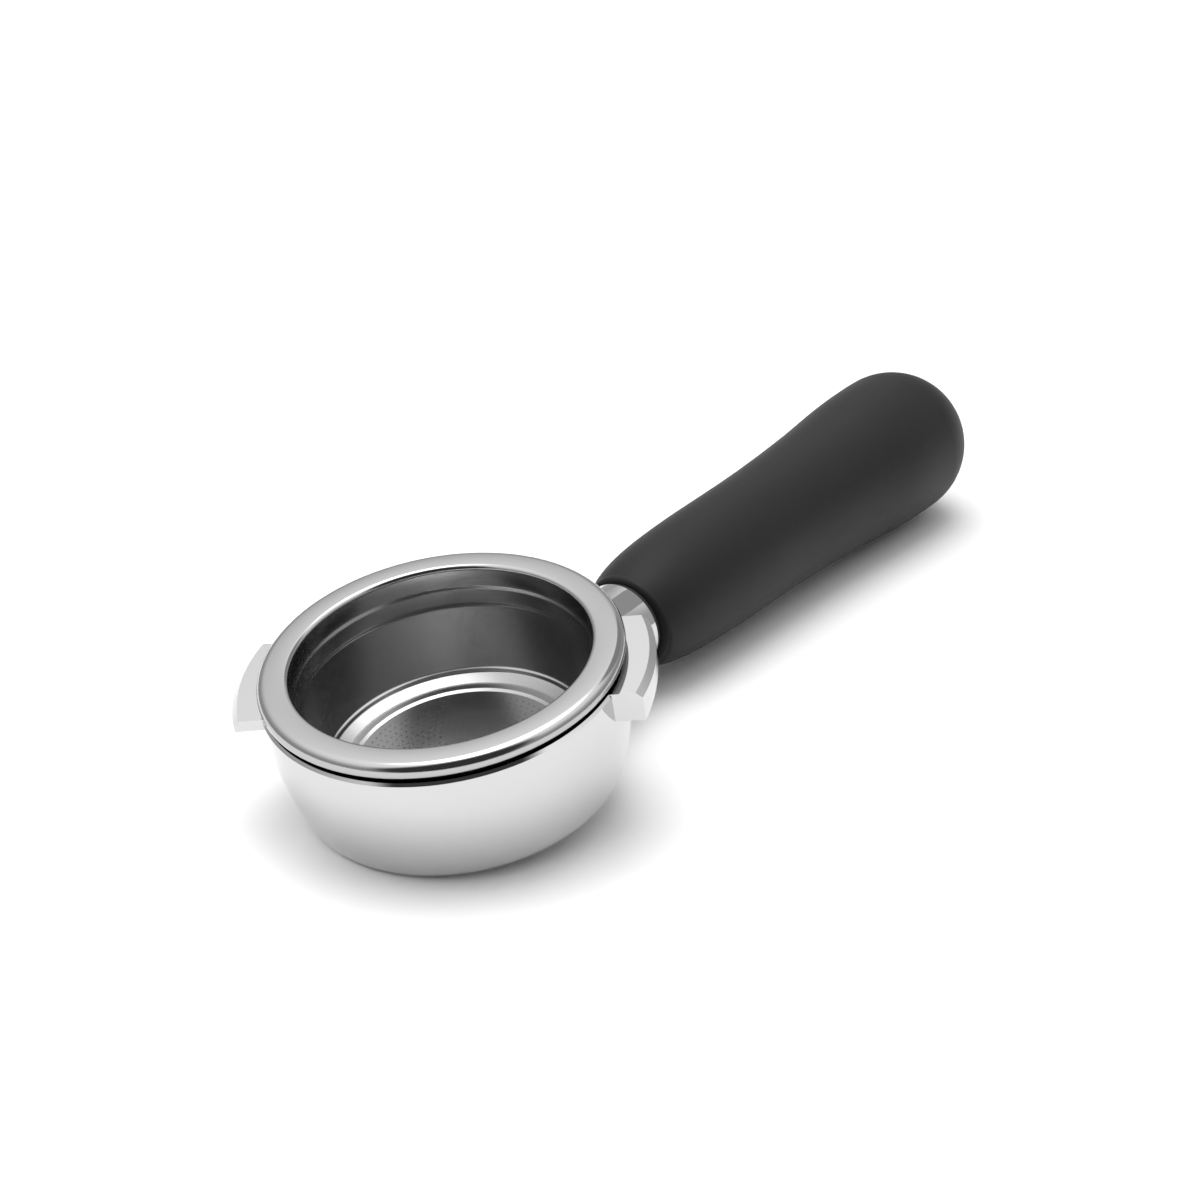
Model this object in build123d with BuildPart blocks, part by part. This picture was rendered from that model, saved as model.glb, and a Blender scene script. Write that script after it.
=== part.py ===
"""Bottomless portafilter for a 58 mm espresso group.

Frame: millimetres, +Z up along the basket's axis, +X towards the handle.
The origin is on the basket's axis, in the plane of the rim's flat top, which seals on the group's gasket.
"""
from build123d import *
from math import cos, radians, sin
import os

os.makedirs("parts", exist_ok=True)

# Filter basket, pressed from one sheet
basket_bore_r = 29.25        # straight wall that guides a 58 mm tamper
sheet = 0.6                  # sheet thickness
basket_depth = 25.2          # rim top to the floor, inside
rim_height = 2.9             # height of the rolled rim
rim_bend_r = 1.0             # bend from the wall to the rim's flat land
rim_land = 3.45              # width of the flat land
rim_roll_r = 1.9             # rounding of the rim's outer edge
rim_curl_r = 0.9             # curl under it
rim_turn_in = 2.8            # flange turned in from the curl, which sits on the seat
ridge_top = 5.4              # depth of the retaining ridge's upper edge
ridge_height = 3.2
ridge_step = 0.4             # how far it stands into the basket
ridge_slope = 0.8            # height of its sloping flanks
wall_draw = 2.65             # how much narrower the wall's foot is than the bore
foot_height = 1.8            # the floor's sloped rim, from the wall's foot to the floor
foot_width = 3.7
foot_ledge = 0.45            # small ledge at the wall's foot
foot_ledge_height = 0.3
floor_land = 0.6             # plain flat border of the floor
sieve_dish = 0.35            # how far the perforated field is pressed down
sieve_slope = 0.7            # width of its sloped edge

# Holder: ring, neck and lugs, one casting
basket_clearance = 0.5       # radial gap between basket wall and ring
floor_clearance = 1.05       # between the basket's floor and the base's lip
seat_gap = 0.1               # under the rolled rim
seat_rise = 0.8              # raised seat inside the ring's top edge
seat_inset = 2.6             # how far the seat is set in from the ring's outside
holder_wall = 5.25           # ring's wall at the top
belly_top = 8.0              # depth where the ring starts to curve in
base_wall = 1.15             # ring's wall at the base, if the curve ran on to it
base_corner_r = 3.6          # rounding between the curve and the base face
base_lip = 2.6               # thickness of the lip round the outlet
base_lip_width = 3.3
top_edge_chamfer = 0.5
bore_chamfer = 0.8

# Bayonet lugs, level with the ring's top edge
lug_reach = 5.4              # beyond the ring
lug_width = 25.4
lug_lead_height = 2.4        # end that enters the group first
lug_stop_height = 6.3        # trailing end
lug_chamfer = 1.2
lug_bury = 1.0               # wall left between the lug's root and the bore
lug_angle = -58.5            # first lug, from the handle

# Retaining spring
wire_r = 0.7
wire_gap = 0.1               # between the opened spring and the basket wall
spring_opening = 14.0        # degrees between the wire's ends
groove_clearance = 0.25

# Handle axis
handle_slope = 9.4           # degrees below the rim's plane
handle_rise = 9.4            # above the base face, on the basket's axis
stud_r = 6.0                 # M12, nominal
neck_wall = 3.8              # round the stud, at the neck's end
neck_reach = 20.1            # from the ring to the neck's end
neck_flare = 1.2             # how much the neck has opened at its middle
neck_flare_length = 11.7     # from the end to there
neck_root_flare = 7.2        # how much it has opened inside the ring
neck_root_inset = 6.35       # how far its root runs into the bore, which trims it
neck_edge = 0.4              # broken edge of the end face
neck_foot_back = 1.5         # end of the planed underside, back from the end face
keel_lap = 0.3               # start of the planed underside, inside the base's corner

# Handle
thread_gap = 0.05
stud_in_neck = 16.0
stud_in_insert = 22.0
stud_chamfer = 1.0
socket_relief = 1.0          # drilled past the stud's end
gasket = 1.0                 # thickness
gasket_inset = 0.5           # gasket's edge inside the neck's
insert_wall = 2.0
insert_length = 25.0
insert_groove = 0.8
insert_groove_width = 2.4
insert_blind = 1.5           # closed end of the insert
nose_inset = 0.1             # grip's flat end inside the gasket's edge
nose_round = 1.5
nose_rise = 0.42             # slope of the grip just behind its nose
shoulder_r = 13.85           # end of the nose's flare
shoulder_length = 19.3       # from the grip's end face, as are the next three
waist_r = 14.75
waist_length = 55.0
swell_r = 16.6
swell_length = 88.0
bulb_r = 18.1                # greatest radius
bulb_length = 116.1

past = 1.0                   # how far a cut runs past the face it starts from
near = 0.01                  # radii this close are the same edge

# What follows from them
basket_wall_r = basket_bore_r + sheet
rim_r = basket_bore_r + rim_bend_r + rim_land + rim_roll_r
ridge_bottom = ridge_top + ridge_height
foot_r = basket_bore_r - wall_draw
foot_depth = basket_depth - foot_height
floor_r = foot_r - foot_width
sieve_r = floor_r - floor_land
sieve_depth = basket_depth + sieve_dish

holder_bore_r = basket_wall_r + basket_clearance
holder_r = holder_bore_r + holder_wall
holder_base_r = holder_bore_r + base_wall
holder_base = sieve_depth + sheet + floor_clearance + base_lip
outlet_r = holder_bore_r - base_lip_width
seat_depth = rim_height + seat_gap
seat_r = holder_r - seat_inset
top_edge_depth = seat_depth + seat_rise
lug_r = holder_r + lug_reach
lug_root_r = holder_bore_r + lug_bury

wire_path_r = basket_wall_r + wire_gap + wire_r
wire_depth = (ridge_top + ridge_bottom) / 2
groove_r = wire_path_r + wire_r + groove_clearance
groove_height = 2 * (wire_r + groove_clearance)

neck_r = stud_r + neck_wall
neck_end = holder_r + neck_reach
neck_middle = (neck_end - neck_flare_length, neck_r + neck_flare)
neck_root = (holder_bore_r - neck_root_inset, neck_r + neck_root_flare)
gasket_r = neck_r - gasket_inset
grip_start = neck_end + gasket
insert_r = stud_r + insert_wall
nose_face_r = gasket_r - nose_inset
stud_thread_r = stud_r - thread_gap

handle_origin = (0, 0, handle_rise - holder_base)
handle_dir = (cos(radians(handle_slope)), 0, -sin(radians(handle_slope)))
handle_plane = Plane(origin=handle_origin, x_dir=handle_dir, z_dir=(0, -1, 0))
handle_axis = Axis(handle_origin, handle_dir)
neck_face = Plane(origin=handle_plane.from_local_coords((neck_end, 0, 0)), z_dir=handle_plane.x_dir)
neck_foot = handle_plane.from_local_coords((neck_end - neck_foot_back, -neck_r, 0))
keel_start = holder_base_r - base_corner_r + keel_lap


# ---- filter_basket: wall, ridge, dished floor and rolled rim ----
with BuildPart() as filter_basket:
    with BuildSketch(Plane.XZ):
        with BuildLine():
            field = Polyline(
                (0, -sieve_depth),
                (sieve_r - sieve_slope, -sieve_depth),
                (sieve_r, -basket_depth),
                (floor_r, -basket_depth),
            )
            foot = Polyline(
                field @ 1,
                (foot_r, -foot_depth),
                (foot_r + foot_ledge, -foot_depth + foot_ledge_height),
            )
            wall = Polyline(
                foot @ 1,
                (basket_bore_r, -ridge_bottom - ridge_slope),
                (basket_bore_r - ridge_step, -ridge_bottom),
                (basket_bore_r - ridge_step, -ridge_top),
                (basket_bore_r, -ridge_top + ridge_slope),
                (basket_bore_r, -rim_bend_r),
            )
            bend = RadiusArc(wall @ 1, (basket_bore_r + rim_bend_r, 0), rim_bend_r)
            land = Line(bend @ 1, (rim_r - rim_roll_r, 0))
            roll = RadiusArc(land @ 1, (rim_r, -rim_roll_r), rim_roll_r)
            side = Line(roll @ 1, (rim_r, -rim_height + rim_curl_r))
            curl = RadiusArc(side @ 1, (rim_r - rim_curl_r, -rim_height), rim_curl_r)
            Line(curl @ 1, (rim_r - rim_curl_r - rim_turn_in, -rim_height))
            offset(amount=sheet, side=Side.RIGHT, closed=True)
        make_face()
    revolve(axis=Axis.Z)
filter_basket.part.label = "filter_basket"
export_step(filter_basket.part, "parts/filter_basket.step")


# ---- basket_spring: open wire ring that sits in the ridge's outer groove ----
with BuildPart() as basket_spring:
    with BuildSketch(Plane.XZ.rotated((0, 0, spring_opening / 2 + 180))):
        with Locations((wire_path_r, -wire_depth)):
            Circle(wire_r)
    revolve(axis=Axis.Z, revolution_arc=360 - spring_opening)
basket_spring.part.label = "basket_spring"
export_step(basket_spring.part, "parts/basket_spring.step")


# ---- bayonet lugs: a chamfered ring kept only where two opposed wedges cross it ----
lug_dir = Vector(1, 0, 0).rotate(Axis.Z, lug_angle)
with BuildPart() as lugs:
    for side in (1, -1):
        outward = lug_dir * side
        with BuildSketch(Plane(origin=(0, 0, 0), x_dir=outward.rotate(Axis.Z, 90), z_dir=outward)):
            with BuildLine():
                Polyline(
                    (-lug_width / 2, -top_edge_depth),
                    (lug_width / 2, -top_edge_depth),
                    (lug_width / 2, -top_edge_depth - lug_lead_height),
                    (-lug_width / 2, -top_edge_depth - lug_stop_height),
                    close=True,
                )
            make_face()
        extrude(amount=lug_r)
    with BuildSketch(Plane.XZ):
        with BuildLine():
            Polyline(
                (lug_root_r, 0),
                (lug_r - lug_chamfer, 0),
                (lug_r - lug_chamfer, -top_edge_depth),
                (lug_r, -top_edge_depth - lug_chamfer),
                (lug_r, -holder_base),
                (lug_root_r, -holder_base),
                close=True,
            )
        make_face()
    revolve(axis=Axis.Z, mode=Mode.INTERSECT)


# ---- holder_body: ring, neck and lugs ----
with BuildPart() as holder_body:
    with BuildSketch(Plane.XZ):
        with BuildLine():
            belly = TangentArc(
                (holder_r, -belly_top),
                (holder_base_r, -holder_base),
                tangent=(0, -1),
            )
            Polyline(
                belly @ 1,
                (0, -holder_base),
                (0, -seat_depth),
                (seat_r, -seat_depth),
                (seat_r, -top_edge_depth),
                (holder_r, -top_edge_depth),
                belly @ 0,
            )
        make_face()
    revolve(axis=Axis.Z)
    base_rim = holder_body.edges().filter_by(GeomType.CIRCLE).group_by(Axis.Z)[0]
    fillet(base_rim, base_corner_r)
    top_rim = holder_body.edges().filter_by(GeomType.CIRCLE).filter_by(
        lambda e: abs(e.radius - holder_r) < near).group_by(Axis.Z)[-1]
    chamfer(top_rim, top_edge_chamfer)
    with BuildSketch(handle_plane):
        with BuildLine():
            flare = ThreePointArc(neck_root, neck_middle, (neck_end - neck_edge, neck_r))
            Polyline(
                flare @ 1,
                (neck_end, neck_r - neck_edge),
                (neck_end, 0),
                (neck_root[0], 0),
                flare @ 0,
            )
        make_face()
    revolve(axis=handle_axis)
    # The neck's underside is planed from the base face to the foot of its end.
    with BuildSketch(Plane.XZ):
        with BuildLine():
            Polyline(
                (0, -holder_base),
                (keel_start, -holder_base),
                (neck_foot.X, neck_foot.Z),
                (neck_foot.X, -2 * holder_base),
                (0, -2 * holder_base),
                close=True,
            )
        make_face()
    extrude(amount=holder_r, both=True, mode=Mode.SUBTRACT)
    add(lugs.part)
    # Bore, outlet, seat chamfer and spring groove, turned in one section.
    with BuildSketch(Plane.XZ):
        with BuildLine():
            Polyline(
                (0, past),
                (holder_bore_r + bore_chamfer, past),
                (holder_bore_r + bore_chamfer, -seat_depth),
                (holder_bore_r, -seat_depth - bore_chamfer),
                (holder_bore_r, -holder_base + base_lip),
                (outlet_r, -holder_base + base_lip),
                (outlet_r, -holder_base - past),
                (0, -holder_base - past),
                close=True,
            )
        make_face()
        with Locations((groove_r / 2, -wire_depth)):
            Rectangle(groove_r, groove_height)
    revolve(axis=Axis.Z, mode=Mode.SUBTRACT)
    # Threaded socket for the handle's stud.
    with BuildSketch(neck_face):
        Circle(stud_r)
    extrude(amount=-stud_in_neck - socket_relief, mode=Mode.SUBTRACT)
holder_body.part.label = "holder_body"
export_step(holder_body.part, "parts/holder_body.step")


# ---- handle_stud: screwed into the neck and the grip's insert ----
with BuildPart() as handle_stud:
    with BuildSketch(handle_plane):
        with BuildLine():
            Polyline(
                (neck_end - stud_in_neck, 0),
                (grip_start + stud_in_insert, 0),
                (grip_start + stud_in_insert, stud_thread_r - stud_chamfer),
                (grip_start + stud_in_insert - stud_chamfer, stud_thread_r),
                (neck_end - stud_in_neck + stud_chamfer, stud_thread_r),
                (neck_end - stud_in_neck, stud_thread_r - stud_chamfer),
                close=True,
            )
        make_face()
    revolve(axis=handle_axis)
handle_stud.part.label = "handle_stud"
export_step(handle_stud.part, "parts/handle_stud.step")


# ---- handle_gasket: rubber ring between the neck and the grip ----
with BuildPart() as handle_gasket:
    with BuildSketch(handle_plane):
        with Locations((neck_end + gasket / 2, (stud_r + gasket_r) / 2)):
            Rectangle(gasket, gasket_r - stud_r)
    revolve(axis=handle_axis)
handle_gasket.part.label = "handle_gasket"
export_step(handle_gasket.part, "parts/handle_gasket.step")


# ---- grip_insert: brass nut moulded into the grip, grooved so that it can't pull out ----
with BuildSketch(handle_plane) as insert_outline:
    with Locations((grip_start + insert_length / 2, insert_r / 2)):
        Rectangle(insert_length, insert_r)
    for third in (1, 2):
        with Locations((grip_start + insert_length * third / 3, insert_r - insert_groove / 2)):
            Rectangle(insert_groove_width, insert_groove, mode=Mode.SUBTRACT)

with BuildPart() as grip_insert:
    add(insert_outline.sketch)
    revolve(axis=handle_axis)
    with BuildSketch(handle_plane):
        with Locations((grip_start + (insert_length - insert_blind) / 2, stud_r / 2)):
            Rectangle(insert_length - insert_blind, stud_r)
    revolve(axis=handle_axis, mode=Mode.SUBTRACT)
grip_insert.part.label = "grip_insert"
export_step(grip_insert.part, "parts/grip_insert.step")


# ---- handle_grip: turned outline with a rounded nose, a long swell and a round end ----
with BuildPart() as handle_grip:
    with BuildSketch(handle_plane):
        with BuildLine():
            face = Line((grip_start, 0), (grip_start, nose_face_r))
            nose = RadiusArc(face @ 1, (grip_start + nose_round, nose_face_r + nose_round), nose_round)
            flank = Spline(
                nose @ 1,
                (grip_start + shoulder_length, shoulder_r),
                (grip_start + waist_length, waist_r),
                (grip_start + swell_length, swell_r),
                (grip_start + bulb_length, bulb_r),
                tangents=[(1, nose_rise), (1, 0)],
            )
            end = RadiusArc(flank @ 1, (grip_start + bulb_length + bulb_r, 0), bulb_r)
            Line(end @ 1, face @ 0)
        make_face()
    revolve(axis=handle_axis)
    add(insert_outline.sketch)
    revolve(axis=handle_axis, mode=Mode.SUBTRACT)
handle_grip.part.label = "handle_grip"
export_step(handle_grip.part, "parts/handle_grip.step")
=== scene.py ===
"""Portafilter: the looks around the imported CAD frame, laid out as an add-on and run as a script."""

import math

import bmesh
import bpy
from bpy.props import FloatProperty, FloatVectorProperty, IntProperty, PointerProperty
from mathutils import Matrix, Vector


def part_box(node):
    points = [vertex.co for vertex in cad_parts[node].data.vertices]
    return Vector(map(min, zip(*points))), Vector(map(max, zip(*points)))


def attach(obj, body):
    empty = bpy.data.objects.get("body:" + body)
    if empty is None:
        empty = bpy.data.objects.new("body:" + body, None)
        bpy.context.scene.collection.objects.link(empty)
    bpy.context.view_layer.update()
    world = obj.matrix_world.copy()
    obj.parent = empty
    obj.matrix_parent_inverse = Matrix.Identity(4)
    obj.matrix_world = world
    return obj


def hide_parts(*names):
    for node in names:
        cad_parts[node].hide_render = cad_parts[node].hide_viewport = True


bl_info = {
    "name": "Portafilter",
    "version": (1, 0, 0),
    "blender": (4, 5, 0),
    "location": "3D View > Sidebar > Portafilter",
    "description": "Basket, handle, holder and studio for a 58 mm bottomless portafilter",
    "category": "Object",
}

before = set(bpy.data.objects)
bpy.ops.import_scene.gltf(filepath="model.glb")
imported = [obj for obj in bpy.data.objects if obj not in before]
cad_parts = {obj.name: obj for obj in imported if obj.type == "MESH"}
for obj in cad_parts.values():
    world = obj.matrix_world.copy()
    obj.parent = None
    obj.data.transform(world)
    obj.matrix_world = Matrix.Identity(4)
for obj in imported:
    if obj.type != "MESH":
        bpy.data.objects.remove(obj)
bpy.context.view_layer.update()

MM = 0.001
TURN = 2 * math.pi
SECTORS = 6
MATERIALS = {}


# ---- what a user would change ----

class BasketSettings(bpy.types.PropertyGroup):
    """Sizes of the filter basket that its CAD box doesn't give."""

    bore: FloatProperty(
        name="Wall radius", description="Radius of the straight wall that takes the tamper",
        default=29.25 * MM, unit="LENGTH", precision=5)
    sheet: FloatProperty(
        name="Sheet", description="Thickness of the pressed sheet",
        default=0.6 * MM, unit="LENGTH", precision=5)
    depth: FloatProperty(
        name="Depth", description="Rim to floor, inside",
        default=25.2 * MM, unit="LENGTH", precision=5)
    ridge_depth: FloatProperty(
        name="Ridge depth", description="Rim to the middle of the retaining ridge",
        default=7.0 * MM, unit="LENGTH", precision=5)
    hole: FloatProperty(
        name="Hole radius", description="Radius of each hole in the floor",
        default=0.16 * MM, unit="LENGTH", precision=6)
    hole_rings: IntProperty(
        name="Hole rings", description="Rings of holes in the floor", default=14, min=1, max=20)
    hole_border: FloatProperty(
        name="Plain border", description="Width left plain round the holes",
        default=1.2 * MM, unit="LENGTH", precision=5)
    hole_sides: IntProperty(
        name="Hole sides", description="Steps round each hole", default=10, min=6, max=24)
    segments: IntProperty(
        name="Segments", description="Steps round the basket's axis", default=216, min=48, max=512)


class FinishSettings(bpy.types.PropertyGroup):
    """Colours and finishes."""

    chrome: FloatVectorProperty(
        name="Chrome", description="Reflected colour of the plated holder",
        default=(0.58, 0.58, 0.58), subtype="COLOR", min=0, max=1)
    steel: FloatVectorProperty(
        name="Basket steel", description="Reflected colour of the pressed basket",
        default=(0.43, 0.43, 0.43), subtype="COLOR", min=0, max=1)
    rim_polish: FloatProperty(
        name="Rim polish", description="Roughness of the basket's rim",
        default=0.13, min=0, max=1)
    spring: FloatVectorProperty(
        name="Spring steel", description="Reflected colour of the wire ring",
        default=(0.45, 0.45, 0.46), subtype="COLOR", min=0, max=1)
    stud: FloatVectorProperty(
        name="Stud steel", description="Reflected colour of the handle's stud",
        default=(0.5, 0.5, 0.49), subtype="COLOR", min=0, max=1)
    brass: FloatVectorProperty(
        name="Brass", description="Reflected colour of the handle's insert",
        default=(0.76, 0.56, 0.25), subtype="COLOR", min=0, max=1)
    grip: FloatVectorProperty(
        name="Grip", description="Colour of the soft-touch handle",
        default=(0.007, 0.007, 0.007), subtype="COLOR", min=0, max=1)
    # Painted shade: this colour darkens the grip's nose where it turns in towards the holder's neck
    nose: FloatVectorProperty(
        name="Nose", description="Colour of the grip's nose ring",
        default=(0.002, 0.002, 0.002), subtype="COLOR", min=0, max=1)
    nose_roughness: FloatProperty(
        name="Nose roughness", description="Roughness of the grip's nose ring",
        default=0.75, min=0, max=1)
    # This length sets the nose band that gets both the duller roughness and the painted shade
    nose_length: FloatProperty(
        name="Nose length", description="From the gasket to the end of the nose ring",
        default=3.0 * MM, unit="LENGTH", precision=5)
    rubber: FloatVectorProperty(
        name="Rubber", description="Colour of the gasket",
        default=(0.012, 0.012, 0.012), subtype="COLOR", min=0, max=1)


class StudioSettings(bpy.types.PropertyGroup):
    """Camera, floor and light."""

    camera_at: FloatVectorProperty(
        name="Camera", description="Where the camera stands, in the part's frame",
        default=(-0.25736, -0.25698, 0.24501), subtype="XYZ", unit="LENGTH", precision=4)
    camera_aim: FloatVectorProperty(
        name="Aim", description="Point in the middle of the view",
        default=(0.02236, -0.02267, 0.00406), subtype="XYZ", unit="LENGTH", precision=4)
    camera_lean: FloatProperty(
        name="Lean", description="Turn of the camera about its own axis",
        default=math.radians(-9.14), subtype="ANGLE")
    lens: FloatProperty(
        name="Lens", description="Focal length in millimetres on a 36 mm sensor", default=69.0, min=1)
    sky: FloatProperty(
        name="Sky", description="Brightness of the tent's sides", default=0.5, min=0)
    overhead: FloatProperty(
        name="Overhead", description="Brightness of the tent's top", default=1.6, min=0)
    softbox: FloatProperty(
        name="Softbox", description="Brightness of the softbox overhead", default=5.0, min=0)
    softbox_height: FloatProperty(
        name="Softbox height", description="Its height; past a right angle it hangs behind",
        default=math.radians(98), subtype="ANGLE")
    softbox_size: FloatProperty(
        name="Softbox size", description="Its half angle",
        default=math.radians(24), subtype="ANGLE")
    dark: FloatProperty(
        name="Dark", description="Brightness of the dark side of the room", default=0.06, min=0)
    dark_height: FloatProperty(
        name="Dark height", description="Height of its middle",
        default=math.radians(30), subtype="ANGLE")
    dark_size: FloatProperty(
        name="Dark size", description="Its half angle",
        default=math.radians(47), subtype="ANGLE")
    panel: FloatProperty(
        name="Panel", description="Brightness of the grey panel over the handle",
        default=0.42, min=0)
    panel_height: FloatProperty(
        name="Panel height", description="Height of the panel's middle",
        default=math.radians(28), subtype="ANGLE")
    panel_size: FloatProperty(
        name="Panel size", description="The panel's half angle",
        default=math.radians(18), subtype="ANGLE")
    lamp_size: FloatProperty(
        name="Lamp size", description="Diameter of both soft lamps",
        default=0.5, unit="LENGTH")
    side_lamp: FloatProperty(
        name="Side lamp", description="Power of the lamp at the left", default=0.8, min=0)
    side_at: FloatVectorProperty(
        name="Side lamp place", description="Where the side lamp stands",
        default=(-0.25, 0.45, 0.6), subtype="XYZ", unit="LENGTH")
    front_lamp: FloatProperty(
        name="Front lamp", description="Power of the lamp in front", default=1.0, min=0)
    front_at: FloatVectorProperty(
        name="Front lamp place", description="Where the front lamp stands",
        default=(-0.42, -0.2, 0.62), subtype="XYZ", unit="LENGTH")
    floor_size: FloatProperty(
        name="Floor size", description="Width of the floor", default=6.0, unit="LENGTH")
    floor: FloatVectorProperty(
        name="Floor", description="Floor colour",
        default=(0.93, 0.93, 0.93), subtype="COLOR", min=0, max=1)


class PortafilterSettings(bpy.types.PropertyGroup):
    """Everything the sidebar panel shows."""

    basket: PointerProperty(type=BasketSettings)
    finish: PointerProperty(type=FinishSettings)
    studio: PointerProperty(type=StudioSettings)


def settings():
    """The sizes and finishes kept with the scene."""
    return bpy.context.scene.portafilter


# ---- shader node groups ----

def node(tree, kind, place=(0, 0), **values):
    """A shader node of the given kind, with its attributes set."""
    made = tree.nodes.new(kind)
    made.location = place
    for key, value in values.items():
        setattr(made, key, value)
    return made


def new_group(name, inputs, outputs):
    """A node group with float inputs {name: default} and named float outputs."""
    group = bpy.data.node_groups.new(name, "ShaderNodeTree")
    group.interface.new_socket("Vector", in_out="INPUT", socket_type="NodeSocketVector")
    for key, value in inputs.items():
        socket = group.interface.new_socket(key, in_out="INPUT", socket_type="NodeSocketFloat")
        socket.default_value = value
    for key in outputs:
        group.interface.new_socket(key, in_out="OUTPUT", socket_type="NodeSocketFloat")
    return group, node(group, "NodeGroupInput", (-900, 0)), node(group, "NodeGroupOutput", (500, 0))


def smudge_group():
    """Faint handling marks: broad cloudy patches broken by fine streaks."""
    group, inp, out = new_group("smudge", {"Scale": 30.0, "Low": 0.03, "High": 0.08}, ("Roughness",))
    links = group.links
    clouds = node(group, "ShaderNodeTexNoise", (-600, 100), noise_dimensions="3D")
    clouds.inputs["Detail"].default_value = 5.0
    clouds.inputs["Roughness"].default_value = 0.62
    links.new(inp.outputs["Vector"], clouds.inputs["Vector"])
    links.new(inp.outputs["Scale"], clouds.inputs["Scale"])
    shape = node(group, "ShaderNodeMapRange", (-300, 100), interpolation_type="SMOOTHSTEP")
    shape.inputs["From Min"].default_value = 0.42
    shape.inputs["From Max"].default_value = 0.72
    links.new(clouds.outputs["Fac"], shape.inputs["Value"])
    span = node(group, "ShaderNodeMapRange", (0, 0))
    links.new(shape.outputs["Result"], span.inputs["Value"])
    links.new(inp.outputs["Low"], span.inputs["To Min"])
    links.new(inp.outputs["High"], span.inputs["To Max"])
    links.new(span.outputs["Result"], out.inputs["Roughness"])
    return group


def turned_grain_group():
    """Fine rings about the Z axis of the vector, as spinning or turning leaves them."""
    group, inp, out = new_group("turned_grain", {"Rings": 2600.0}, ("Height",))
    links = group.links
    parts = node(group, "ShaderNodeSeparateXYZ", (-750, 0))
    links.new(inp.outputs["Vector"], parts.inputs["Vector"])
    flat = node(group, "ShaderNodeCombineXYZ", (-600, 150))
    links.new(parts.outputs["X"], flat.inputs["X"])
    links.new(parts.outputs["Y"], flat.inputs["Y"])
    radius = node(group, "ShaderNodeVectorMath", (-450, 150), operation="LENGTH")
    links.new(flat.outputs["Vector"], radius.inputs[0])
    along = node(group, "ShaderNodeCombineXYZ", (-300, 0))
    links.new(radius.outputs["Value"], along.inputs["X"])
    links.new(parts.outputs["Z"], along.inputs["Y"])
    noise = node(group, "ShaderNodeTexNoise", (-100, 0), noise_dimensions="2D")
    noise.inputs["Detail"].default_value = 3.0
    links.new(along.outputs["Vector"], noise.inputs["Vector"])
    links.new(inp.outputs["Rings"], noise.inputs["Scale"])
    links.new(noise.outputs["Fac"], out.inputs["Height"])
    return group


def pebble_group():
    """The fine skin of a soft-touch moulding."""
    group, inp, out = new_group("pebble", {"Scale": 1500.0}, ("Height", "Patch"))
    links = group.links
    cells = node(group, "ShaderNodeTexVoronoi", (-500, 100), feature="SMOOTH_F1")
    links.new(inp.outputs["Vector"], cells.inputs["Vector"])
    links.new(inp.outputs["Scale"], cells.inputs["Scale"])
    broad = node(group, "ShaderNodeTexNoise", (-500, -200))
    broad.inputs["Scale"].default_value = 55.0
    broad.inputs["Detail"].default_value = 4.0
    links.new(inp.outputs["Vector"], broad.inputs["Vector"])
    links.new(cells.outputs["Distance"], out.inputs["Height"])
    links.new(broad.outputs["Fac"], out.inputs["Patch"])
    return group


def shader(name, color, roughness, metallic=0.0):
    """A material with its Principled BSDF and the object coordinates that its groups read."""
    made = bpy.data.materials.new(name)
    made.use_nodes = True
    tree = made.node_tree
    bsdf = tree.nodes["Principled BSDF"]
    bsdf.inputs["Base Color"].default_value = (*color, 1)
    bsdf.inputs["Roughness"].default_value = roughness
    bsdf.inputs["Metallic"].default_value = metallic
    coords = node(tree, "ShaderNodeTexCoord", (-900, 0))
    return made, tree, bsdf, coords.outputs["Object"]


def place_group(tree, group, vector, place=(-600, 0), **values):
    """Puts a node group in a material, with that material's own values."""
    made = node(tree, "ShaderNodeGroup", place, node_tree=group)
    tree.links.new(vector, made.inputs["Vector"])
    for key, value in values.items():
        made.inputs[key].default_value = value
    return made


def add_bump(tree, bsdf, height, distance, strength=1.0):
    """Bump from a height, which is in units of the distance."""
    bump = node(tree, "ShaderNodeBump", (-250, -300))
    bump.inputs["Distance"].default_value = distance
    bump.inputs["Strength"].default_value = strength
    tree.links.new(height, bump.inputs["Height"])
    tree.links.new(bump.outputs["Normal"], bsdf.inputs["Normal"])


def nose_shade_mask(tree, vector, place):
    """A mask that is 1 on the grip's nose and fades to 0 behind it, measured along X from the gasket; it sets
    where the grip is duller and where painted shade darkens it.
    """
    length = settings().finish.nose_length
    fade_from = 0.6 * length
    low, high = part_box("handle_gasket")
    start = (low[0] + high[0]) / 2
    parts = node(tree, "ShaderNodeSeparateXYZ", place)
    tree.links.new(vector, parts.inputs["Vector"])
    mask = node(tree, "ShaderNodeMapRange", (place[0] + 200, place[1]), interpolation_type="SMOOTHSTEP")
    mask.inputs["From Min"].default_value = start + length
    mask.inputs["From Max"].default_value = start + fade_from
    tree.links.new(parts.outputs["X"], mask.inputs["Value"])
    return mask.outputs["Result"]


# ---- finishes ----

def chrome_plate(smudge):
    """Bright plating with faint handling marks."""
    made, tree, bsdf, vector = shader("chrome_plate", settings().finish.chrome, 0.04, 1.0)
    marks = place_group(tree, smudge, vector, Scale=28.0, Low=0.02, High=0.07)
    tree.links.new(marks.outputs["Roughness"], bsdf.inputs["Roughness"])
    return made


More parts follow.
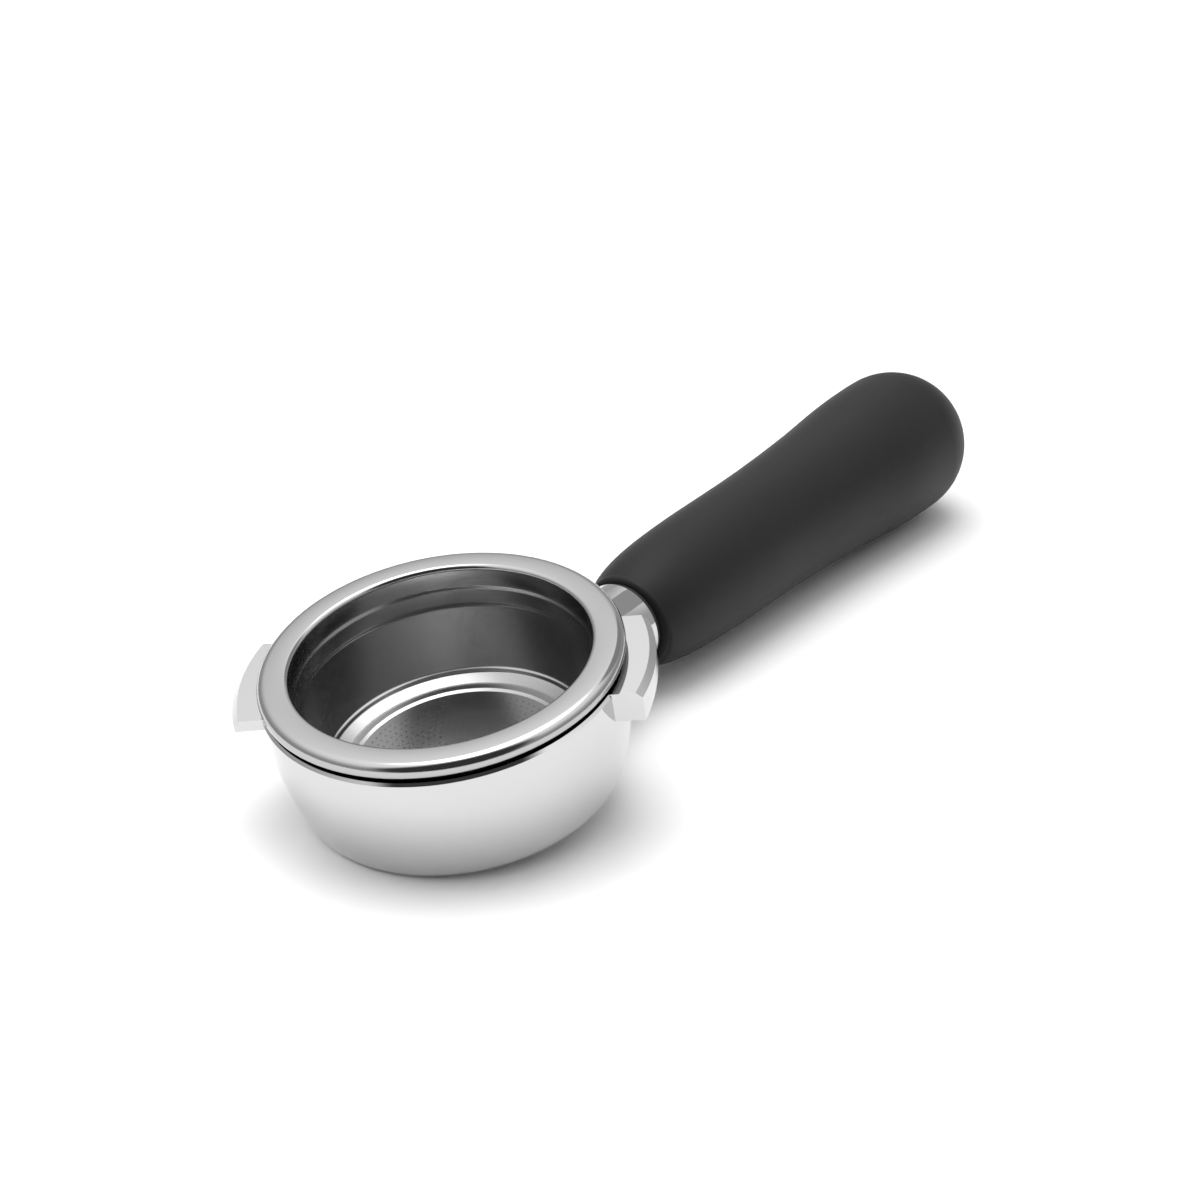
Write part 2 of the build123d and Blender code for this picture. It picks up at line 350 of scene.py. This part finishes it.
def basket_steel(smudge, grain):
    """Pressed and spun steel: satin in the bowl, polished on the rim."""
    finish = settings().finish
    satin_below, polished_above = -5.0 * MM, -3.0 * MM
    grain_depth = 0.0000012
    made, tree, bsdf, vector = shader("basket_steel", finish.steel, 0.12, 1.0)
    marks = place_group(tree, smudge, vector, Scale=45.0, Low=0.24, High=0.28)
    parts = node(tree, "ShaderNodeSeparateXYZ", (-700, 300))
    tree.links.new(vector, parts.inputs["Vector"])
    rim = node(tree, "ShaderNodeMapRange", (-500, 300), interpolation_type="SMOOTHSTEP")
    rim.inputs["From Min"].default_value = satin_below
    rim.inputs["From Max"].default_value = polished_above
    tree.links.new(parts.outputs["Z"], rim.inputs["Value"])
    polish = node(tree, "ShaderNodeMix", (-250, 200), data_type="FLOAT")
    polish.inputs["B"].default_value = finish.rim_polish
    tree.links.new(rim.outputs["Result"], polish.inputs["Factor"])
    tree.links.new(marks.outputs["Roughness"], polish.inputs["A"])
    tree.links.new(polish.outputs["Result"], bsdf.inputs["Roughness"])
    rings = place_group(tree, grain, vector, (-600, -300), Rings=1400.0)
    add_bump(tree, bsdf, rings.outputs["Height"], grain_depth)
    return made


def inner_metal(name, color, roughness, smudge):
    """The finish of a small metal part inside, a little uneven."""
    made, tree, bsdf, vector = shader(name, color, roughness, 1.0)
    marks = place_group(tree, smudge, vector, Scale=120.0, Low=roughness * 0.8, High=roughness * 1.4)
    tree.links.new(marks.outputs["Roughness"], bsdf.inputs["Roughness"])
    return made


def soft_touch_grip(pebble):
    """Black soft-touch moulding, duller on its nose ring, where a darker colour is painted shade next to the
    holder's neck.
    """
    finish = settings().finish
    skin_depth = 0.00002
    made, tree, bsdf, vector = shader("soft_touch_grip", finish.grip, 0.5)
    bsdf.inputs["Specular IOR Level"].default_value = 0.25
    bsdf.inputs["Sheen Weight"].default_value = 0.04
    bsdf.inputs["Sheen Roughness"].default_value = 0.45
    skin = place_group(tree, pebble, vector, Scale=1700.0)
    add_bump(tree, bsdf, skin.outputs["Height"], skin_depth, 0.35)
    tone = node(tree, "ShaderNodeMapRange", (-300, 150))
    tone.inputs["To Min"].default_value = 0.5
    tone.inputs["To Max"].default_value = 0.6
    tree.links.new(skin.outputs["Patch"], tone.inputs["Value"])
    # The nose mask sets both the duller roughness and the painted shade on the nose
    nose = nose_shade_mask(tree, vector, (-800, 400))
    dull = node(tree, "ShaderNodeMix", (-150, 300), data_type="FLOAT")
    dull.inputs["B"].default_value = finish.nose_roughness
    tree.links.new(nose, dull.inputs["Factor"])
    tree.links.new(tone.outputs["Result"], dull.inputs["A"])
    tree.links.new(dull.outputs["Result"], bsdf.inputs["Roughness"])
    # Painted shade: the grip's colour is darkened towards the nose colour, in place of the shade where the
    # grip meets the holder's neck
    painted_shade = node(tree, "ShaderNodeMix", (-150, 500), data_type="RGBA")
    painted_shade.inputs["A"].default_value = (*finish.grip, 1)
    painted_shade.inputs["B"].default_value = (*finish.nose, 1)
    tree.links.new(nose, painted_shade.inputs["Factor"])
    tree.links.new(painted_shade.outputs["Result"], bsdf.inputs["Base Color"])
    return made


def gasket_rubber(pebble):
    """Matt black rubber."""
    skin_depth = 0.00001
    made, tree, bsdf, vector = shader("gasket_rubber", settings().finish.rubber, 0.65)
    skin = place_group(tree, pebble, vector, Scale=2500.0)
    add_bump(tree, bsdf, skin.outputs["Height"], skin_depth, 0.3)
    return made


def make_materials():
    """Every finish, by the record's slot name."""
    finish = settings().finish
    smudge, grain, pebble = smudge_group(), turned_grain_group(), pebble_group()
    return {
        "chrome": chrome_plate(smudge),
        "basket_steel": basket_steel(smudge, grain),
        "spring_steel": inner_metal("spring_steel", finish.spring, 0.2, smudge),
        "stud_steel": inner_metal("stud_steel", finish.stud, 0.3, smudge),
        "insert_brass": inner_metal("insert_brass", finish.brass, 0.25, smudge),
        "grip_plastic": soft_touch_grip(pebble),
        "gasket_rubber": gasket_rubber(pebble),
    }


# ---- meshes ----

def new_object(name, bm, material):
    """The mesh as an object at the origin, smooth except where faces meet at a sharp angle."""
    sharp_from = math.radians(35)
    mesh = bpy.data.meshes.new(name)
    bmesh.ops.recalc_face_normals(bm, faces=bm.faces)
    for face in bm.faces:
        face.smooth = True
    for edge in bm.edges:
        edge.smooth = len(edge.link_faces) == 2 and edge.calc_face_angle() < sharp_from
    bm.to_mesh(mesh)
    bm.free()
    mesh.materials.append(material)
    made = bpy.data.objects.new(name, mesh)
    bpy.context.collection.objects.link(made)
    return made


def spin_outline(bm, points, segments):
    """Spins an (r, z) outline about Z into a shell."""
    verts = [bm.verts.new((r, 0, z)) for r, z in points]
    edges = [bm.edges.new(pair) for pair in zip(verts, verts[1:])]
    bmesh.ops.spin(
        bm, geom=verts + edges, cent=(0, 0, 0), axis=(0, 0, 1), dvec=(0, 0, 0),
        angle=TURN, steps=segments, use_merge=True, use_duplicate=False)


def rounded(corners, steps=5):
    """Rounds an (r, z) polyline: each corner is (r, z, radius), and the radius of its two ends isn't used."""
    straight = math.radians(89.5)
    out = [corners[0][:2]]
    for last, here, after in zip(corners, corners[1:], corners[2:]):
        corner, radius = Vector(here[:2]), here[2]
        back = (Vector(last[:2]) - corner).normalized()
        ahead = (Vector(after[:2]) - corner).normalized()
        half = back.angle(ahead) / 2
        if half > straight:
            out.append(here[:2])
            continue
        reach = radius / math.tan(half)
        center = corner + (back + ahead).normalized() * radius / math.sin(half)
        start, end = corner + back * reach - center, corner + ahead * reach - center
        sweep = start.angle_signed(end)
        for i in range(steps + 1):
            spoke = Vector((start.x, start.y))
            spoke.rotate(Matrix.Rotation(-sweep * i / steps, 2))
            out.append(tuple(center + spoke))
    out.append(corners[-1][:2])
    return out


def basket_inside(b, rim_r):
    """The sheet's upper surface, from the sieve's edge to the flange under the rim, in millimetres."""
    bore, depth, ridge = b.bore / MM, b.depth / MM, b.ridge_depth / MM
    sieve_r, flat_r, dish_r, dish = 21.2, 21.6, 22.3, 0.35
    wall_draw, foot_width, foot_rise, foot_top = 2.65, 2.9, 0.05, 1.8
    heel, heel_top, ledge, ledge_top = 0.35, 1.15, 0.45, 2.1
    ridge_step, ridge_flat, ridge_reach = 0.4, 1.6, 2.4
    rim_bend, rim_roll, rim_curl, rim_height, turn_in = 1.0, 1.9, 0.9, 2.9, 2.8
    foot_r = bore - wall_draw
    return rounded([
        (sieve_r, -depth - dish, 0),
        (flat_r, -depth - dish, 0.3),
        (dish_r, -depth, 0.4),
        (foot_r - foot_width, foot_rise - depth, 2.0),
        (foot_r - heel, heel_top - depth, 0.5),
        (foot_r, foot_top - depth, 0.3),
        (foot_r + ledge, ledge_top - depth, 0.4),
        (bore, -ridge - ridge_reach, 1.5),
        (bore - ridge_step, -ridge - ridge_flat, 0.9),
        (bore - ridge_step, -ridge + ridge_flat, 0.9),
        (bore, -ridge + ridge_reach, 0.9),
        (bore, 0, rim_bend),
        (rim_r, 0, rim_roll),
        (rim_r, -rim_height, rim_curl),
        (rim_r - rim_curl - turn_in, -rim_height, 0),
    ])


def offset_outline(points, distance):
    """The outline moved to its right by the sheet's thickness, corner by corner."""
    least_stretch = 0.5
    out = []
    for i, point in enumerate(points):
        here = Vector(point)
        sides = []
        if i > 0:
            sides.append((here - Vector(points[i - 1])).normalized())
        if i < len(points) - 1:
            sides.append((Vector(points[i + 1]) - here).normalized())
        along = sum(sides, Vector((0, 0))).normalized()
        stretch = max(least_stretch, along.dot(sides[0]))
        out.append((here.x + along.y * distance / stretch, here.y - along.x * distance / stretch))
    return out


def sieve_sector(b, radius):
    """One filled sixth of the perforated field, with its rows of holes staggered."""
    sixth = TURN / SECTORS
    staggers = (0.72, 0.28)
    field = bmesh.new()
    hub = field.verts.new((0, 0, 0))
    first = field.verts.new((radius, 0, 0))
    swept = bmesh.ops.spin(
        field, geom=[first], cent=(0, 0, 0), axis=(0, 0, 1), dvec=(0, 0, 0), angle=sixth,
        steps=b.segments // SECTORS, use_merge=False, use_duplicate=False)
    last = next(item for item in swept["geom_last"] if isinstance(item, bmesh.types.BMVert))
    field.edges.new((hub, first))
    field.edges.new((hub, last))
    pitch = (radius - b.hole_border) / b.hole_rings
    for ring in range(1, b.hole_rings + 1):
        for i in range(ring):
            spoke = Matrix.Rotation(sixth * (i + staggers[ring % 2]) / ring, 4, "Z")
            place = spoke @ Matrix.Translation((pitch * ring, 0, 0))
            bmesh.ops.create_circle(field, segments=b.hole_sides, radius=b.hole, matrix=place)
    bmesh.ops.triangle_fill(field, edges=field.edges, use_beauty=True, normal=(0, 0, 1))
    return field


def sieve_plate(bm, b, radius, top):
    """The perforated field: its sixth turned six times and given the sheet's thickness, open at its edge."""
    weld = b.hole / 20
    field = sieve_sector(b, radius)
    bmesh.ops.spin(
        field, geom=field.faces[:], cent=(0, 0, 0), axis=(0, 0, 1), dvec=(0, 0, 0),
        angle=TURN - TURN / SECTORS, steps=SECTORS - 1, use_merge=False, use_duplicate=True)
    bmesh.ops.remove_doubles(field, verts=field.verts, dist=weld)
    bmesh.ops.recalc_face_normals(field, faces=field.faces)
    pushed = bmesh.ops.extrude_face_region(field, geom=field.faces[:], use_keep_orig=True)
    lowered = [item for item in pushed["geom"] if isinstance(item, bmesh.types.BMVert)]
    bmesh.ops.translate(field, vec=(0, 0, -b.sheet), verts=lowered)
    upright = [face for face in field.faces if abs(face.normal.z) < 0.5]
    outer = [face for face in upright if all(vert.co.xy.length > radius - b.hole for vert in face.verts)]
    bmesh.ops.delete(field, geom=outer, context="FACES")
    bmesh.ops.translate(field, vec=(0, 0, top), verts=field.verts)
    mesh = bpy.data.meshes.new("sieve_field")
    field.to_mesh(mesh)
    field.free()
    bm.from_mesh(mesh)
    bpy.data.meshes.remove(mesh)


def make_basket(material):
    """The pressed basket: its spun sheet with the perforated field let into the floor."""
    b = settings().basket
    weld = MM / 200
    rim_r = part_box("filter_basket")[1][0] / MM
    inside = basket_inside(b, rim_r)
    outside = offset_outline(inside, b.sheet / MM)
    outline = [(r * MM, z * MM) for r, z in inside + outside[::-1]]
    bm = bmesh.new()
    spin_outline(bm, outline, b.segments)
    sieve_plate(bm, b, inside[0][0] * MM, inside[0][1] * MM)
    bmesh.ops.remove_doubles(bm, verts=bm.verts, dist=weld)
    basket = new_object("basket_shell", bm, material)
    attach(basket, "basket")
    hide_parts("filter_basket")


# ---- operators ----

def dress(node_name, slot):
    """Puts a finish on a CAD piece's own material slots."""
    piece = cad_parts[node_name]
    for item in piece.material_slots:
        item.material = MATERIALS[slot]


class PORTAFILTER_OT_basket(bpy.types.Operator):
    """Filter basket: rolled rim, retaining ridge, stepped floor and its holes"""

    bl_idname = "portafilter.basket"
    bl_label = "Filter basket"

    def execute(self, context):
        make_basket(MATERIALS["basket_steel"])
        return {"FINISHED"}


class PORTAFILTER_OT_holder(bpy.types.Operator):
    """Chromed holder and the wire ring in its groove"""

    bl_idname = "portafilter.holder"
    bl_label = "Holder and wire ring"

    def execute(self, context):
        dress("holder_body", "chrome")
        dress("basket_spring", "spring_steel")
        return {"FINISHED"}


class PORTAFILTER_OT_handle(bpy.types.Operator):
    """Grip, gasket, insert and stud"""

    bl_idname = "portafilter.handle"
    bl_label = "Handle"

    def execute(self, context):
        dress("handle_grip", "grip_plastic")
        dress("handle_gasket", "gasket_rubber")
        dress("grip_insert", "insert_brass")
        dress("handle_stud", "stud_steel")
        return {"FINISHED"}


def resting_plane():
    """The floor's normal and distance: the part lies on its ring's edge and the handle's end."""
    steepest, halvings = math.radians(40), 24
    points = {}
    for name in ("holder_body", "handle_grip"):
        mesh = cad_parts[name].data
        points[name] = [vert.co.copy() for vert in mesh.vertices]

    def lowest(name, tilt):
        normal = Vector((math.sin(tilt), 0, math.cos(tilt)))
        return min(point.dot(normal) for point in points[name])

    low, high = 0.0, steepest
    for _ in range(halvings):
        middle = (low + high) / 2
        if lowest("handle_grip", middle) < lowest("holder_body", middle):
            low = middle
        else:
            high = middle
    return Vector((math.sin(low), 0, math.cos(low))), lowest("holder_body", low)


def sky_patch(tree, vector, toward, inner, outer, place):
    """A mask that is 1 within the inner angle of a direction and fades to 0 at the outer one."""
    dot = node(tree, "ShaderNodeVectorMath", place, operation="DOT_PRODUCT")
    dot.inputs[1].default_value = toward
    tree.links.new(vector, dot.inputs[0])
    mask = node(tree, "ShaderNodeMapRange", (place[0] + 200, place[1]), interpolation_type="SMOOTHSTEP")
    mask.inputs["From Min"].default_value = math.cos(outer)
    mask.inputs["From Max"].default_value = math.cos(inner)
    tree.links.new(dot.outputs["Value"], mask.inputs["Value"])
    return mask.outputs["Result"]


def sky_level(tree, below, mask, level, place):
    """The brightness so far, taken towards a level where the mask is 1."""
    mix = node(tree, "ShaderNodeMix", place, data_type="FLOAT")
    mix.inputs["B"].default_value = level
    tree.links.new(mask, mix.inputs["Factor"])
    if isinstance(below, float):
        mix.inputs["A"].default_value = below
    else:
        tree.links.new(below, mix.inputs["A"])
    return mix.outputs["Result"]


def make_sky(s, normal, to_camera):
    """White tent: brighter overhead, a dark side, and a grey panel over the handle."""
    world = bpy.data.worlds.new("tent")
    bpy.context.scene.world = world
    world.use_nodes = True
    tree = world.node_tree
    vector = node(tree, "ShaderNodeTexCoord", (-1200, 0)).outputs["Generated"]
    level = (to_camera - normal * to_camera.dot(normal)).normalized()

    def toward(elevation):
        return level * math.cos(elevation) + normal * math.sin(elevation)

    over_handle = Vector((math.cos(s.panel_height), 0, math.sin(s.panel_height)))
    top_inner, top_outer = math.radians(20), math.radians(75)
    patches = (
        (normal, top_inner, top_outer, s.overhead),
        (toward(s.softbox_height), s.softbox_size * 0.6, s.softbox_size, s.softbox),
        (toward(s.dark_height), s.dark_size * 0.7, s.dark_size, s.dark),
        (over_handle, s.panel_size * 0.93, s.panel_size, s.panel),
    )
    light = s.sky
    for i, (direction, inner, outer, brightness) in enumerate(patches):
        mask = sky_patch(tree, vector, direction, inner, outer, (-900, 600 - 300 * i))
        light = sky_level(tree, light, mask, brightness, (-500 + 130 * i, 600 - 300 * i))
    tree.links.new(light, tree.nodes["Background"].inputs["Color"])


def facing(spot, aim):
    """Where a lamp or camera stands, turned to look at a point."""
    return Matrix.Translation(spot) @ (spot - aim).to_track_quat("Z", "Y").to_matrix().to_4x4()


def lay_floor(s, normal, distance):
    """A wide sheet of pale paper under the part."""
    lay = normal.to_track_quat("Z", "Y").to_matrix().to_4x4()
    bm = bmesh.new()
    bmesh.ops.create_grid(bm, x_segments=2, y_segments=2, size=s.floor_size / 2)
    bmesh.ops.transform(bm, matrix=Matrix.Translation(normal * distance) @ lay, verts=bm.verts)
    paper, _, bsdf, _ = shader("floor_paper", s.floor, 0.9)
    bsdf.inputs["Specular IOR Level"].default_value = 0.1
    new_object("floor", bm, paper)


def set_camera(s, at, aim):
    """The camera, leaned about its own axis."""
    camera = bpy.data.objects.new("camera", bpy.data.cameras.new("camera"))
    camera.data.lens = s.lens
    camera.data.sensor_width = 36.0
    camera.data.clip_start = 0.01
    camera.matrix_world = facing(at, aim) @ Matrix.Rotation(s.camera_lean, 4, "Z")
    bpy.context.collection.objects.link(camera)
    bpy.context.scene.camera = camera


def add_lamp(name, power, size, spot, aim):
    """A round soft lamp that lights the part and isn't seen in its reflections."""
    data = bpy.data.lights.new(name, "AREA")
    data.shape = "DISK"
    data.size = size
    data.energy = power
    lamp = bpy.data.objects.new(name, data)
    lamp.matrix_world = facing(spot, aim)
    lamp.visible_glossy = False
    bpy.context.collection.objects.link(lamp)


class PORTAFILTER_OT_studio(bpy.types.Operator):
    """Pale floor, white tent, two soft lamps and the camera"""

    bl_idname = "portafilter.studio"
    bl_label = "Studio"

    def execute(self, context):
        s = settings().studio
        normal, distance = resting_plane()
        at, aim = Vector(s.camera_at), Vector(s.camera_aim)
        lay_floor(s, normal, distance)
        set_camera(s, at, aim)
        make_sky(s, normal, (at - aim).normalized())
        add_lamp("side_lamp", s.side_lamp, s.lamp_size, Vector(s.side_at), aim)
        add_lamp("front_lamp", s.front_lamp, s.lamp_size, Vector(s.front_at), aim)
        context.scene.view_settings.view_transform = "Standard"
        return {"FINISHED"}


class PORTAFILTER_PT_panel(bpy.types.Panel):
    """Sizes, finishes and the buttons that build each piece"""

    bl_idname = "PORTAFILTER_PT_panel"
    bl_label = "Portafilter"
    bl_space_type = "VIEW_3D"
    bl_region_type = "UI"
    bl_category = "Portafilter"

    def draw(self, context):
        for group in ("basket", "finish", "studio"):
            box = self.layout.box()
            box.label(text=group.capitalize())
            values = getattr(settings(), group)
            for key in values.bl_rna.properties.keys():
                if key not in ("rna_type", "name"):
                    box.prop(values, key)
        for operator in OPERATORS:
            self.layout.operator(operator.bl_idname)


OPERATORS = (PORTAFILTER_OT_holder, PORTAFILTER_OT_basket, PORTAFILTER_OT_handle, PORTAFILTER_OT_studio)
CLASSES = (
    BasketSettings, FinishSettings, StudioSettings, PortafilterSettings, *OPERATORS, PORTAFILTER_PT_panel)


def register():
    """Adds the settings, operators and panel to the session."""
    for item in CLASSES:
        bpy.utils.register_class(item)
    bpy.types.Scene.portafilter = PointerProperty(type=PortafilterSettings)


def unregister():
    """Takes them out again."""
    del bpy.types.Scene.portafilter
    for item in reversed(CLASSES):
        bpy.utils.unregister_class(item)


def main():
    """Dresses the frame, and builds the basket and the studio."""
    register()
    MATERIALS.update(make_materials())
    bpy.ops.portafilter.holder()
    bpy.ops.portafilter.basket()
    bpy.ops.portafilter.handle()
    bpy.ops.portafilter.studio()


if __name__ == "__main__":
    main()
